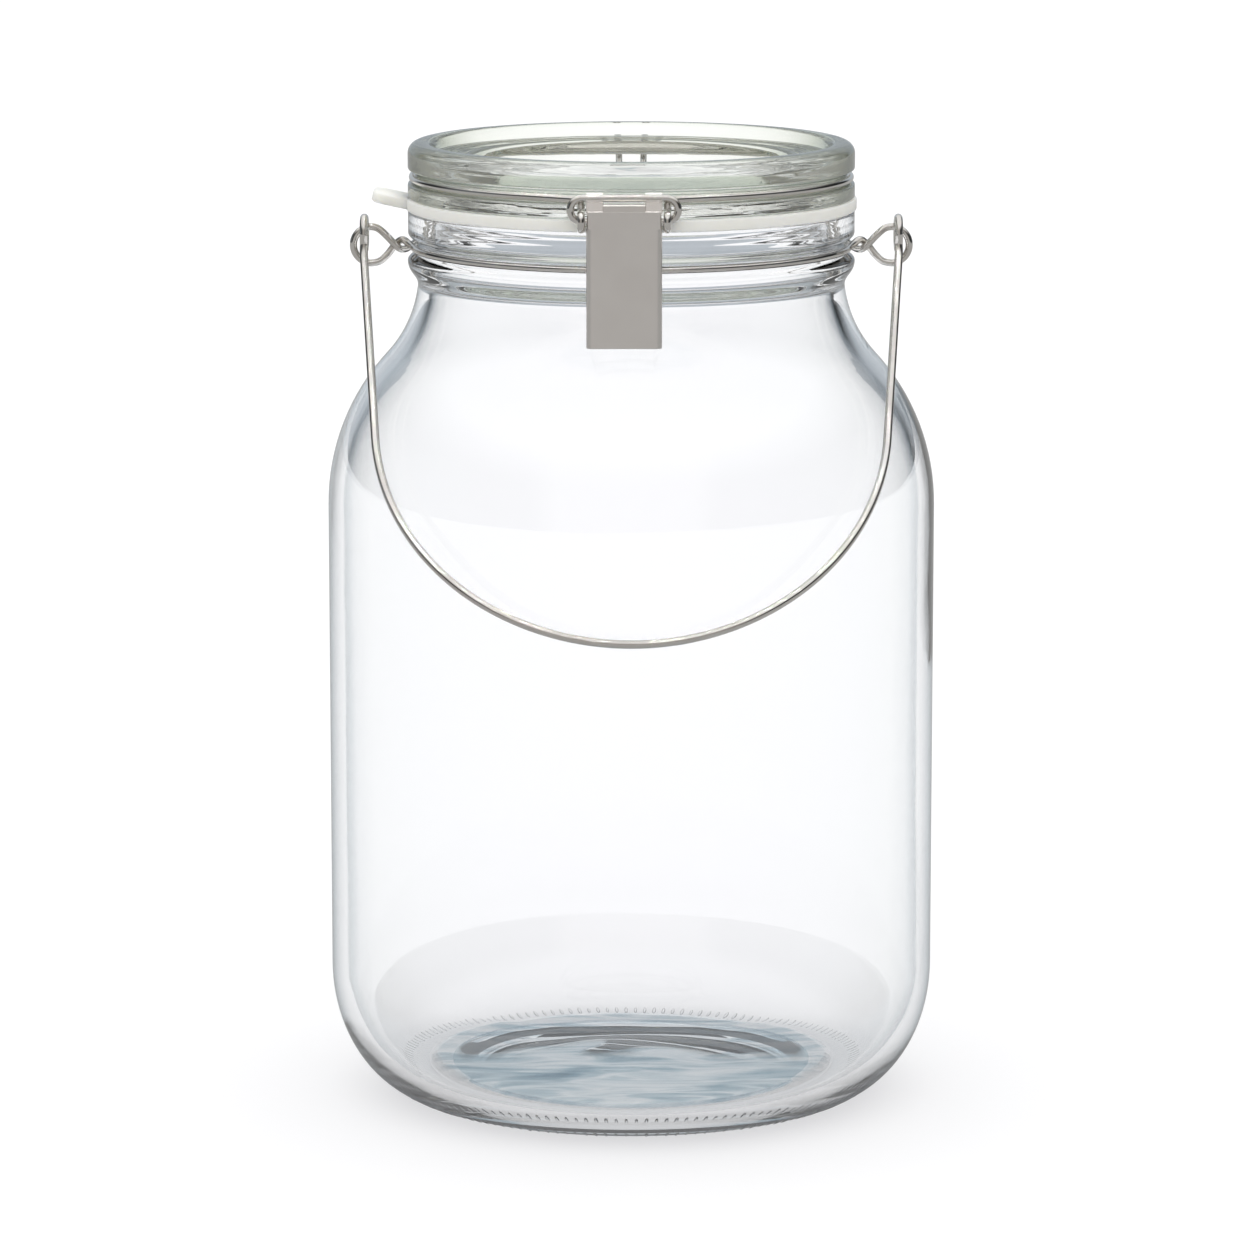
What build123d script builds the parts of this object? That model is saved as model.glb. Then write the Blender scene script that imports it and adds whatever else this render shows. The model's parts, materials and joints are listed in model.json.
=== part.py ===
from build123d import *
import math
import os

# Lidded glass canister with a wire bail handle and a front lever clamp.
# Frame: origin at the centre of the base, +Z up, the lever at the front (-Y), millimetres.

# Jar body
body_radius = 84.0
wall = 4.2
foot_radius = 58.1
foot_inner_radius = 51.0
punt_rise = 4.5
heel_height = 35.8
floor_height = 10.0
floor_radius = 52.0
inner_heel_height = 28.0
shoulder_height = 165.6
shoulder_radius = 61.0
collar_radius = 34.85
neck_radius = 58.6

# Neck finish, from the bead up to the sealing rim
bead_radius = 61.6
bead_mid = 233.4
groove_radius = 59.1
neck_groove_low = 236.0
neck_groove_high = 238.6
rim_low = 241.0
rim_radius = 61.5
rim_height = 247.4
rim_round = 0.8

# Gasket with its pull tab
gasket_gap = 0.05
gasket_radius = 62.05
gasket_inner_radius = 53.2
gasket_top = 251.0
gasket_round = 0.6
tab_start = 61.0
tab_root = 1.0
tab_tip = 71.5
tab_width = 16.0
tab_thickness = 2.9
tab_slope = 12.0
tab_corner = 4.0

# Glass lid
lid_radius = 61.5
lid_groove_radius = 59.0
lid_groove_low = 254.8
lid_groove_high = 258.4
lid_groove_flank_low = 0.5
lid_groove_flank_high = 0.9
lid_groove_round_low = 0.6
lid_groove_round_high = 0.8
lid_top = 265.9
lid_edge_round = 3.0
lid_rim_inner_radius = 55.0
lid_rim_inner_round = 1.6
lid_step_radius = 53.4
lid_step_round = 1.5
lid_step_height = 262.0
lid_well_radius = 46.0
lid_well_round = 2.0
lid_well_floor_radius = 41.0
lid_well_floor = 251.4
lid_well_floor_round = 3.0
plug_radius = 52.8
plug_end_radius = 52.2
plug_bottom = 245.0
plug_round = 2.5

# Wire rings
ring_wire = 1.0
lid_wire = 1.05
ring_centre_radius = 60.15
neck_ring_height = 237.3
lid_ring_height = 256.3

# Side eyes of the neck ring
stem_wire = 0.9
eye_tip = 64.0
eye_shoulder = 69.8
eye_reach = 76.6
eye_half_height = 5.0
eye_tip_bend = 1.1
eye_flank_bend = 3.0
eye_end_bend = 4.95

# Rear hinge: a cross bar of the neck wire inside two eyes of the lid wire
hinge_wire = 0.95
tail_wire = 0.98
hinge_y = 66.5
hinge_z = 248.5
hinge_bar_half = 8.0
hinge_bend = 2.2
hinge_eye_x = 4.0
wire_root = 0.8
running_gap = 0.1

# Bail handle
bail_wire = 1.15
bail_x = 73.5
bail_axis_z = neck_ring_height + 4.6
bail_lean = 40.4
bail_eye_radius = 4.3
bail_eye_wire = 1.1
bail_eye_drop = 1.75
bail_arc_radius = 69.3
bail_arc_centre = 63.4

# Clamp at the front, a little off centre
latch_x = -1.9
link_y = -64.0
link_wire = 1.0
link_low = 250.7
link_high = 257.0
link_half_straight = 11.15
hook_x = 11.45
hook_drop_y = -61.85
hook_tail = 0.8
hook_top_bends = (1.6, 1.4)
hook_end_bend = 2.14

# Pressed lever
lever_width = 20.2
lever_sheet = 0.8
lever_front_y = -66.3
lever_bottom = 217.0
lever_top = 255.4
lever_flange_y = -62.6
lever_flange_top = 249.1
lever_corner = 1.3
lip_half_width = 5.6
lip_back_y = -64.3
lip_root = 1.0
lever_shoulder = 253.6
knuckle_wall = 0.7
knuckle_opening = (-50.0, 60.0)
knuckle_strap_angles = (-70.0, -45.0)
knuckle_strap_radii = (1.45, 1.6)
knuckle_strap_root = 0.1
knuckle_strap_rise = 0.3

# Spring catch inside the lever
catch_wire = 0.6
catch_pivot_z = 244.0
catch_arm_x = 7.0
catch_end_x = 9.9
catch_bar_y = -60.9
catch_bar_z = 235.55
catch_knee_z = 238.4
catch_foot_y = -62.7
catch_bend = 0.8

os.makedirs("parts", exist_ok=True)


def sweep_wire(path_line, radius):
    """Sweep a round wire of the given radius along a BuildLine's single path."""
    path = path_line.wires()[0]
    with BuildSketch(Plane(origin=path @ 0, z_dir=path % 0)) as section:
        Circle(radius)
    sweep(section.sketch, path=path)


def round_edges(solid, radius, height):
    """Circular edges of a turned piece that have the given radius and height."""
    circles = solid.edges().filter_by(GeomType.CIRCLE)
    return circles.filter_by(
        lambda edge: abs(edge.radius - radius) < 0.01 and abs(edge.center().Z - height) < 0.01
    )


# Jar: outer profile up to the rim, then down the inside
shoulder_x = body_radius - shoulder_radius
collar_x = neck_radius + collar_radius
arc_centres_apart = shoulder_radius + collar_radius
arc_angle = math.degrees(math.acos((collar_x - shoulder_x) / arc_centres_apart))
shoulder_centre = (shoulder_x, shoulder_height)
collar_centre = (
    collar_x,
    shoulder_height + arc_centres_apart * math.sin(math.radians(arc_angle)),
)
mouth_radius = neck_radius - wall
inner_heel_top = floor_height + inner_heel_height
punt_radius = (foot_inner_radius**2 + punt_rise**2) / (2 * punt_rise)

with BuildPart() as jar:
    with BuildSketch(Plane.XZ):
        with BuildLine():
            underside = RadiusArc((0, punt_rise), (foot_inner_radius, 0), punt_radius)
            Line(underside @ 1, (foot_radius, 0))
            EllipticalCenterArc(
                (foot_radius, heel_height),
                body_radius - foot_radius,
                heel_height,
                start_angle=270,
                arc_size=90,
            )
            Line((body_radius, heel_height), (body_radius, shoulder_height))
            CenterArc(shoulder_centre, shoulder_radius, 0, arc_angle)
            collar = CenterArc(collar_centre, collar_radius, 180 + arc_angle, -arc_angle)
            upright = [(0, 1), (0, 1)]
            bead_under = Spline(collar @ 1, (bead_radius, bead_mid), tangents=upright)
            bead_over = Spline(bead_under @ 1, (groove_radius, neck_groove_low), tangents=upright)
            groove_floor = Line(bead_over @ 1, (groove_radius, neck_groove_high))
            groove_side = Spline(groove_floor @ 1, (rim_radius, rim_low), tangents=upright)
            rim_wall = Line(groove_side @ 1, (rim_radius, rim_height))
            rim_face = Line(rim_wall @ 1, (mouth_radius, rim_height))
            Line(rim_face @ 1, (mouth_radius, collar_centre[1]))
            CenterArc(collar_centre, collar_radius + wall, 180, arc_angle)
            CenterArc(shoulder_centre, shoulder_radius - wall, arc_angle, -arc_angle)
            Line((body_radius - wall, shoulder_height), (body_radius - wall, inner_heel_top))
            EllipticalCenterArc(
                (floor_radius, inner_heel_top),
                body_radius - wall - floor_radius,
                inner_heel_height,
                start_angle=270,
                arc_size=90,
            )
            floor = Line((floor_radius, floor_height), (0, floor_height))
            Line(floor @ 1, underside @ 0)
        make_face()
    revolve(axis=Axis.Z)
    fillet(round_edges(jar, rim_radius, rim_height), rim_round)
    fillet(round_edges(jar, mouth_radius, rim_height), rim_round)
jar.part.label = "jar"
export_step(jar.part, "parts/jar.step")

# Lid: flanged rim with a wire groove, sunk well on top, plug below
with BuildPart() as lid_glass:
    with BuildSketch(Plane.XZ):
        with BuildLine():
            Polyline(
                (0, plug_bottom),
                (plug_end_radius, plug_bottom),
                (plug_radius, gasket_top),
                (lid_radius, gasket_top),
                (lid_radius, lid_groove_low),
                (lid_groove_radius, lid_groove_low + lid_groove_flank_low),
                (lid_groove_radius, lid_groove_high - lid_groove_flank_high),
                (lid_radius, lid_groove_high),
                (lid_radius, lid_top),
                (lid_rim_inner_radius, lid_top),
                (lid_step_radius, lid_step_height),
                (lid_well_radius, lid_step_height),
                (lid_well_floor_radius, lid_well_floor),
                (0, lid_well_floor),
                close=True,
            )
        make_face()
    revolve(axis=Axis.Z)
    fillet(round_edges(lid_glass, lid_radius, lid_top), lid_edge_round)
    fillet(round_edges(lid_glass, lid_rim_inner_radius, lid_top), lid_rim_inner_round)
    fillet(round_edges(lid_glass, lid_step_radius, lid_step_height), lid_step_round)
    fillet(round_edges(lid_glass, lid_well_radius, lid_step_height), lid_well_round)
    fillet(round_edges(lid_glass, lid_well_floor_radius, lid_well_floor), lid_well_floor_round)
    fillet(round_edges(lid_glass, plug_end_radius, plug_bottom), plug_round)
    fillet(round_edges(lid_glass, lid_radius, lid_groove_low), lid_groove_round_low)
    fillet(round_edges(lid_glass, lid_radius, lid_groove_high), lid_groove_round_high)
lid_glass.part.label = "lid_glass"
export_step(lid_glass.part, "parts/lid_glass.step")

# Gasket: flat ring between rim and lid with a rising pull tab on the left
gasket_bottom = rim_height + gasket_gap
tab_rise = math.radians(tab_slope)
tab_underside = (rim_height + gasket_top) / 2 - tab_thickness / 2 * math.cos(tab_rise)
tab_plane = Plane(
    origin=(-tab_start, 0, tab_underside),
    x_dir=(-math.cos(tab_rise), 0, math.sin(tab_rise)),
    z_dir=(math.sin(tab_rise), 0, math.cos(tab_rise)),
)
tab_length = (tab_tip - tab_start) / math.cos(tab_rise)
with BuildPart() as gasket:
    with BuildSketch(Plane.XZ):
        with Locations((gasket_inner_radius, gasket_bottom)):
            Rectangle(
                gasket_radius - gasket_inner_radius,
                gasket_top - gasket_bottom,
                align=(Align.MIN, Align.MIN),
            )
    revolve(axis=Axis.Z)
    fillet(round_edges(gasket, gasket_radius, gasket_bottom), gasket_round)
    fillet(round_edges(gasket, gasket_radius, gasket_top), gasket_round)
    with BuildSketch(tab_plane) as tab_outline:
        with Locations((-tab_root, 0)):
            Rectangle(tab_length + tab_root, tab_width, align=(Align.MIN, Align.CENTER))
        fillet(tab_outline.vertices().group_by(Axis((0, 0, 0), tab_plane.x_dir))[-1], tab_corner)
    extrude(amount=tab_thickness)
gasket.part.label = "gasket"
export_step(gasket.part, "parts/gasket.step")

# Neck ring: hoop round the neck, an eye each side and the rear hinge bar
with BuildPart() as neck_ring:
    with Locations((0, 0, neck_ring_height)):
        Torus(ring_centre_radius, ring_wire, rotation=(0, 0, 45))
    for side_sign in (-1, 1):
        with BuildLine(Plane.XZ) as eye_path:
            FilletPolyline(
                (side_sign * eye_tip, neck_ring_height),
                (side_sign * eye_shoulder, neck_ring_height + eye_half_height),
                (side_sign * eye_reach, neck_ring_height + eye_half_height),
                (side_sign * eye_reach, neck_ring_height - eye_half_height),
                (side_sign * eye_shoulder, neck_ring_height - eye_half_height),
                radius=[eye_tip_bend, eye_flank_bend, eye_end_bend, eye_end_bend, eye_flank_bend],
                close=True,
            )
        sweep_wire(eye_path, ring_wire)
        with BuildLine() as stem_path:
            Line(
                (side_sign * ring_centre_radius, 0, neck_ring_height),
                (side_sign * (eye_tip + ring_wire), 0, neck_ring_height),
            )
        sweep_wire(stem_path, stem_wire)
    with BuildLine() as hinge_path:
        FilletPolyline(
            (hinge_bar_half, ring_centre_radius - wire_root, neck_ring_height),
            (hinge_bar_half, hinge_y, neck_ring_height),
            (hinge_bar_half, hinge_y, hinge_z),
            (-hinge_bar_half, hinge_y, hinge_z),
            (-hinge_bar_half, hinge_y, neck_ring_height),
            (-hinge_bar_half, ring_centre_radius - wire_root, neck_ring_height),
            radius=hinge_bend,
        )
    sweep_wire(hinge_path, hinge_wire)
neck_ring.part.label = "neck_ring"
export_step(neck_ring.part, "parts/neck_ring.step")

# Lid ring: wire in the lid's groove, hooks on the link at the front, hinge eyes at the rear
hook_radius = link_wire + running_gap + lid_wire
hinge_eye_radius = hinge_wire + running_gap + lid_wire
hook_top = link_low + hook_radius
hook_front_y = link_y - hook_radius


def hook_points(hook_centre_x):
    """Corners of one front hook, from behind the link to below its low bar."""
    return [
        (hook_centre_x, hook_drop_y, lid_ring_height),
        (hook_centre_x, hook_drop_y, hook_top),
        (hook_centre_x, hook_front_y, hook_top),
        (hook_centre_x, hook_front_y, link_low - hook_radius),
        (hook_centre_x, link_y + hook_tail, link_low - hook_radius),
    ]


def leaving_angle(hook_centre_x, turn):
    """Angle at which the hoop's tangent leads to the top of a hook."""
    reach = math.hypot(hook_centre_x, hook_drop_y)
    towards_hook = math.atan2(hook_drop_y, hook_centre_x)
    return math.degrees(towards_hook + turn * math.acos(ring_centre_radius / reach))


hook_bends = [*hook_top_bends, hook_end_bend, hook_end_bend]
with BuildPart() as lid_ring:
    right_angle = leaving_angle(latch_x + hook_x, 1)
    left_angle = leaving_angle(latch_x - hook_x, -1)
    with BuildLine() as hoop_path:
        hoop = CenterArc(
            (0, 0, lid_ring_height), ring_centre_radius, right_angle, 360 + left_angle - right_angle
        )
        FilletPolyline(hoop @ 1, *hook_points(latch_x - hook_x), radius=hook_bends)
        FilletPolyline(hoop @ 0, *hook_points(latch_x + hook_x), radius=hook_bends)
    sweep_wire(hoop_path, lid_wire)
    for side_sign in (-1, 1):
        hinge_eye_centre = (side_sign * hinge_eye_x, hinge_y, hinge_z)
        with Locations(Plane(hinge_eye_centre, x_dir=(0, 1, 0), z_dir=(1, 0, 0))):
            Torus(hinge_eye_radius, lid_wire)
        with BuildLine() as tail_path:
            FilletPolyline(
                (side_sign * hinge_eye_x, hinge_y, hinge_z + hinge_eye_radius),
                (side_sign * hinge_eye_x, hinge_y, lid_ring_height),
                (side_sign * hinge_eye_x, ring_centre_radius - wire_root / 2, lid_ring_height),
                radius=hinge_bend,
            )
        sweep_wire(tail_path, tail_wire)
lid_ring.part.label = "lid_ring"
export_step(lid_ring.part, "parts/lid_ring.step")

# Bail handle: one wire with an eye at each end, leaning on the front of the jar
lean = math.radians(bail_lean)
bail_plane = Plane(
    origin=(0, 0, bail_axis_z), x_dir=(1, 0, 0), z_dir=(0, math.cos(lean), -math.sin(lean))
)
arm_start = bail_eye_drop + bail_eye_radius
arm_reach = math.hypot(bail_x, arm_start - bail_arc_centre)
arc_start = math.degrees(
    math.atan2(arm_start - bail_arc_centre, bail_x) + math.acos(bail_arc_radius / arm_reach)
)
with BuildPart() as handle:
    with BuildLine(bail_plane) as bail_path:
        grip = CenterArc((0, bail_arc_centre), bail_arc_radius, arc_start, 180 - 2 * arc_start)
        Line((bail_x, arm_start), grip @ 0)
        Line(grip @ 1, (-bail_x, arm_start))
    sweep_wire(bail_path, bail_wire)
    for side_sign in (-1, 1):
        eye_centre = bail_plane.from_local_coords((side_sign * bail_x, bail_eye_drop, 0))
        with Locations(Plane(eye_centre, x_dir=(0, 1, 0), z_dir=(1, 0, 0))):
            Torus(bail_eye_radius, bail_eye_wire)
handle.part.label = "handle"
export_step(handle.part, "parts/handle.step")

# Link: closed oval of wire between the lid ring and the lever
link_half_height = (link_high - link_low) / 2
link_centre = (latch_x, link_y, link_low + link_half_height)
link_plane = Plane(origin=link_centre, x_dir=(1, 0, 0), z_dir=(0, -1, 0))
with BuildPart() as latch_link:
    with BuildLine(link_plane) as link_path:
        Line((-link_half_straight, link_half_height), (link_half_straight, link_half_height))
        CenterArc((link_half_straight, 0), link_half_height, 90, -180)
        Line((link_half_straight, -link_half_height), (-link_half_straight, -link_half_height))
        CenterArc((-link_half_straight, 0), link_half_height, 270, -180)
    sweep_wire(link_path, link_wire)
latch_link.part.label = "latch_link"
export_step(latch_link.part, "parts/latch_link.step")

# Lever: pressed channel that hangs from the link's high bar by two rolled knuckles
lever_depth = lever_flange_y - lever_front_y
lever_back_y = lever_front_y + lever_sheet
channel_x = Location((latch_x, lever_back_y + lever_depth / 2))
knuckle_inner = link_wire + running_gap
knuckle_outer = knuckle_inner + knuckle_wall
knuckle_width = lever_width / 2 - lip_half_width


def around_bar(angle, radius):
    """Point at an angle round the high bar, in the knuckle's own plane."""
    return (radius * math.cos(math.radians(angle)), radius * math.sin(math.radians(angle)))


with BuildPart() as latch_lever:
    with BuildSketch(Plane.XY.offset(lever_bottom)):
        with Locations((latch_x, lever_front_y + lever_depth / 2)):
            Rectangle(lever_width, lever_depth)
    extrude(amount=lever_shoulder - lever_bottom)
    fillet(latch_lever.edges().filter_by(Axis.Z).group_by(Axis.Y)[0], lever_corner)
    with BuildSketch(Plane.XY.offset(lever_bottom)) as channel_space:
        with Locations(channel_x):
            Rectangle(lever_width - 2 * lever_sheet, lever_depth)
        fillet(channel_space.vertices().group_by(Axis.Y)[0], lever_corner - lever_sheet)
    extrude(amount=lever_shoulder - lever_bottom, mode=Mode.SUBTRACT)
    with BuildSketch(Plane.XY.offset(lever_flange_top)):
        with Locations(channel_x):
            Rectangle(2 * lever_width, lever_depth)
    extrude(amount=lever_top - lever_flange_top, mode=Mode.SUBTRACT)
    # Middle of the top edge, bent back under the high bar
    lip_height = lever_top - lever_shoulder + lip_root
    with Locations((latch_x, (lever_front_y + lever_back_y) / 2, lever_top - lip_height / 2)):
        Box(2 * lip_half_width, lever_sheet, lip_height)
    with Locations((latch_x, (lever_front_y + lip_back_y) / 2, lever_top - lever_sheet / 2)):
        Box(2 * lip_half_width, lip_back_y - lever_front_y, lever_sheet)
    # Knuckles rolled round the high bar, open to the front
    for side_sign in (-1, 1):
        knuckle_middle_x = latch_x + side_sign * (lip_half_width + knuckle_width / 2)
        knuckle_end_x = knuckle_middle_x + knuckle_width / 2
        knuckle_plane = Plane((knuckle_end_x, link_y, link_high), x_dir=(0, -1, 0), z_dir=(-1, 0, 0))
        front_of_bar = link_y - lever_front_y
        back_of_bar = link_y - lever_back_y
        strap_foot = lever_shoulder - link_high - knuckle_strap_root
        with BuildSketch(knuckle_plane):
            Circle(knuckle_outer)
            Circle(knuckle_inner, mode=Mode.SUBTRACT)
            with BuildLine():
                Polyline(
                    (0, 0),
                    around_bar(knuckle_opening[0], 2 * knuckle_outer),
                    around_bar(0, 2 * knuckle_outer),
                    around_bar(knuckle_opening[1], 2 * knuckle_outer),
                    close=True,
                )
            make_face(mode=Mode.SUBTRACT)
            with BuildLine():
                Polyline(
                    around_bar(knuckle_strap_angles[0], knuckle_strap_radii[0]),
                    around_bar(knuckle_strap_angles[1], knuckle_strap_radii[1]),
                    (front_of_bar, lever_shoulder - link_high + knuckle_strap_rise),
                    (front_of_bar, strap_foot),
                    (back_of_bar, strap_foot),
                    close=True,
                )
            make_face()
        extrude(amount=knuckle_width)
    # Holes that carry the ends of the spring catch
    with Locations(Plane((latch_x, link_y, catch_pivot_z), z_dir=(1, 0, 0))):
        Cylinder(catch_wire + running_gap, 2 * lever_width, mode=Mode.SUBTRACT)
latch_lever.part.label = "latch_lever"
export_step(latch_lever.part, "parts/latch_lever.step")

# Spring catch: wire held in the lever's flanges, its bar hooked under the neck ring
with BuildPart() as spring_catch:
    with BuildLine() as catch_path:
        FilletPolyline(
            (latch_x - catch_end_x, link_y, catch_pivot_z),
            (latch_x - catch_arm_x, link_y, catch_pivot_z),
            (latch_x - catch_arm_x, link_y, catch_knee_z),
            (latch_x - catch_arm_x, catch_foot_y, catch_bar_z),
            (latch_x - catch_arm_x, catch_bar_y, catch_bar_z),
            (latch_x + catch_arm_x, catch_bar_y, catch_bar_z),
            (latch_x + catch_arm_x, catch_foot_y, catch_bar_z),
            (latch_x + catch_arm_x, link_y, catch_knee_z),
            (latch_x + catch_arm_x, link_y, catch_pivot_z),
            (latch_x + catch_end_x, link_y, catch_pivot_z),
            radius=catch_bend,
        )
    sweep_wire(catch_path, catch_wire)
spring_catch.part.label = "spring_catch"
export_step(spring_catch.part, "parts/spring_catch.step")
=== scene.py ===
import json
import math

import bmesh
import bpy
from mathutils import Matrix, Vector


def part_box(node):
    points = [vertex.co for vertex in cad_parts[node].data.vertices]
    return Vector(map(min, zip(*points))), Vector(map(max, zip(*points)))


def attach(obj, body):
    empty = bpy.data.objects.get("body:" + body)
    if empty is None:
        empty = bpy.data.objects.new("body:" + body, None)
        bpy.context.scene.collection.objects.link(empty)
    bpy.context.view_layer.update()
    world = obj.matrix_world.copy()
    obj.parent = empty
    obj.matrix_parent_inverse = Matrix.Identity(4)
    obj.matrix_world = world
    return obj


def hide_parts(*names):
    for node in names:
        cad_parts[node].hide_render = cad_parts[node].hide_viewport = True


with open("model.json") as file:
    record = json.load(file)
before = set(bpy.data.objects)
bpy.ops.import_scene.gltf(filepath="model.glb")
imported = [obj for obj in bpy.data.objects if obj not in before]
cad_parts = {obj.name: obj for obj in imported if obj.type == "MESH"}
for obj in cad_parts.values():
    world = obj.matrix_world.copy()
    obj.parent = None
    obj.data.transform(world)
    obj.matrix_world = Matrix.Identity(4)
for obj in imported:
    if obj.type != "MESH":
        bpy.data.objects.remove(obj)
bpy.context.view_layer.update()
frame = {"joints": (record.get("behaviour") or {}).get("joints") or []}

# Lidded glass canister: clip-top jar, glass lid on a wire hinge, wire clamp with a steel lever, and handle.
# All lengths below are in millimetres; MM turns them into Blender's metres.
MM = 0.001


def box_mm(node):
    """Lowest and highest corners of a CAD node, in millimetres."""
    low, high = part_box(node)
    return low / MM, high / MM


_, jar_high = box_mm("jar")
lid_low, lid_high = box_mm("lid_glass")
gasket_low, gasket_high = box_mm("gasket")
link_low, link_high = box_mm("latch_link")
lever_low, lever_high = box_mm("latch_lever")
joint_at = {joint["name"]: Vector(joint["pos_m"]) / MM for joint in frame["joints"]}

# Jar, taken up its outside and down its inside
BODY_R = jar_high.x
RIM_Z = jar_high.z
WALL = 4.2
FOOT_R = 58.1
FOOT_INNER_R = 51.0
PUNT_RISE = 4.5
HEEL_Z = 35.8
FLOOR_Z = 7.0
FLOOR_R = 54.0
INNER_HEEL_R = 58.5
INNER_HEEL_Z = 5.6
SHOULDER_Z = 165.6
SHOULDER_R = 61.0
COLLAR_R = 34.85
NECK_R = 58.6
BEAD_START_Z = 226.0
BEAD_R = 61.6
BEAD_Z = 233.4
GROOVE_R = 59.1
GROOVE_LOW_Z = 236.2
GROOVE_HIGH_Z = 238.4
RIM_LOW_Z = 241.2
RIM_R = 61.5
RIM_ROUND = 0.8
MOUTH_ROUND = 1.4

# Lid
LID_R = lid_high.x
LID_TOP = lid_high.z
LID_BOTTOM = gasket_high.z - 2.1
LID_ROUND = 3.0
PLUG_BOTTOM = lid_low.z
PLUG_R = 52.2
PLUG_ROUND = 2.5
FLANGE_R = 61.5
FLANGE_TOP = 254.8
FLANGE_ROUND = 0.6
LID_GROOVE_R = 59.0
LID_GROOVE_LOW_Z = 255.8
LID_GROOVE_HIGH_Z = 257.0
WELL_RIM_Z = 262.0
WELL_FLOOR_Z = 251.4
WELL_RING_RISE = 0.5

# Wires
RING_WIRE = 1.0
LID_WIRE = 1.05
BAIL_WIRE = 1.15
CATCH_WIRE = 0.6
HINGE_WIRE = 0.95
HOOP_R = 60.15
NECK_HOOP_Z = 237.3
LID_HOOP_Z = 256.3
EYE_HALF = 5.0
EYE_CENTRE_X = 71.6
WIRE_GAP = 0.1

WIRE_SIDES = 20
LATHE_STEPS = 240


# ---------------------------------------------------------------- materials


def linear(hex_colour):
    """sRGB hex to Blender's linear colour."""
    channels = [int(hex_colour[i : i + 2], 16) / 255 for i in (0, 2, 4)]
    return [c / 12.92 if c <= 0.04045 else ((c + 0.055) / 1.055) ** 2.4 for c in channels] + [1.0]


def add_node(tree, kind, settings=(), values=(), links=()):
    """Add a node, with its properties, its socket values and its links from other nodes' outputs."""
    node = tree.nodes.new(kind)
    for name, value in dict(settings).items():
        setattr(node, name, value)
    for socket, value in dict(values).items():
        node.inputs[socket].default_value = value
    for socket, source in dict(links).items():
        tree.links.new(source, node.inputs[socket])
    return node


def colour_ramp(tree, value, colours):
    """A colour ramp of (place, hex colour) stops on a value; gives its colour output."""
    ramp_node = add_node(tree, "ShaderNodeValToRGB", links={0: value})
    ramp = ramp_node.color_ramp
    for place, _ in colours[1:-1]:
        ramp.elements.new(place)
    for element, (place, colour) in zip(ramp.elements, colours):
        element.position = place
        element.color = linear(colour)
    return ramp_node.outputs[0]


def new_material(name):
    """A material with only a Principled shader and its output."""
    material = bpy.data.materials.new(name)
    material.use_nodes = True
    tree = material.node_tree
    return material, tree, tree.nodes["Principled BSDF"]


def shade_passes(tree, shader, shade_colour):
    """Lets lamp light fall through glass, a little dimmed, so what stands behind it is lit."""
    clear = add_node(tree, "ShaderNodeBsdfTransparent", values={"Color": linear(shade_colour)})
    path = add_node(tree, "ShaderNodeLightPath")
    mix = add_node(
        tree,
        "ShaderNodeMixShader",
        links={0: path.outputs["Is Shadow Ray"], 1: shader.outputs[0], 2: clear.outputs[0]},
    )
    tree.links.new(mix.outputs[0], tree.nodes["Material Output"].inputs["Surface"])


def glass_material(name, tint_and_painted_edge_shade, shade_colour, ripple_mm, ripple_height, stretch):
    """Soda-lime glass: nearly clear face on, tinted where its wall is seen along its length, and darkened
    at its edges by painted shade.
    """
    material, tree, shader = new_material(name)
    shader.inputs["Transmission Weight"].default_value = 1.0
    shader.inputs["IOR"].default_value = 1.5
    shader.inputs["Roughness"].default_value = 0.0
    facing = add_node(tree, "ShaderNodeLayerWeight", values={"Blend": 0.5})
    # Base colour by facing: the glass's own faint tint, deepening into painted shade at the edges where it
    # turns away.
    edge_shaded_tint = colour_ramp(tree, facing.outputs["Facing"], tint_and_painted_edge_shade)
    tree.links.new(edge_shaded_tint, shader.inputs["Base Color"])
    place = add_node(tree, "ShaderNodeTexCoord")
    ripple_place = add_node(
        tree, "ShaderNodeMapping", values={"Scale": stretch}, links={"Vector": place.outputs["Object"]}
    )
    ripple = add_node(
        tree,
        "ShaderNodeTexNoise",
        values={"Scale": 1 / (ripple_mm * MM), "Detail": 1.5, "Roughness": 0.45},
        links={"Vector": ripple_place.outputs[0]},
    )
    bump = add_node(
        tree,
        "ShaderNodeBump",
        values={"Strength": 1.0, "Distance": ripple_height * MM},
        links={"Height": ripple.outputs[0]},
    )
    tree.links.new(bump.outputs[0], shader.inputs["Normal"])
    shade_passes(tree, shader, shade_colour)
    return material, tree, shader, edge_shaded_tint


# The thick bottom of the jar: where its tint and painted shade are whole and where they have faded out
SWIRL_R, SWIRL_FADED_R = 54.0, 58.5
BOTTOM_R, BOTTOM_FADED_R = 64.0, 70.0
BOTTOM_Z, BOTTOM_FADED_Z = 8.0, 13.0
SWIRL_SIZE = 22.0


def fade(tree, value, full, none):
    """A smooth mask on a length: 1 at one distance and 0 at the other, in millimetres."""
    mask = add_node(
        tree,
        "ShaderNodeMapRange",
        settings={"interpolation_type": "SMOOTHSTEP"},
        values={"From Min": none * MM, "From Max": full * MM},
        links={"Value": value},
    )
    return mask.outputs[0]


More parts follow.
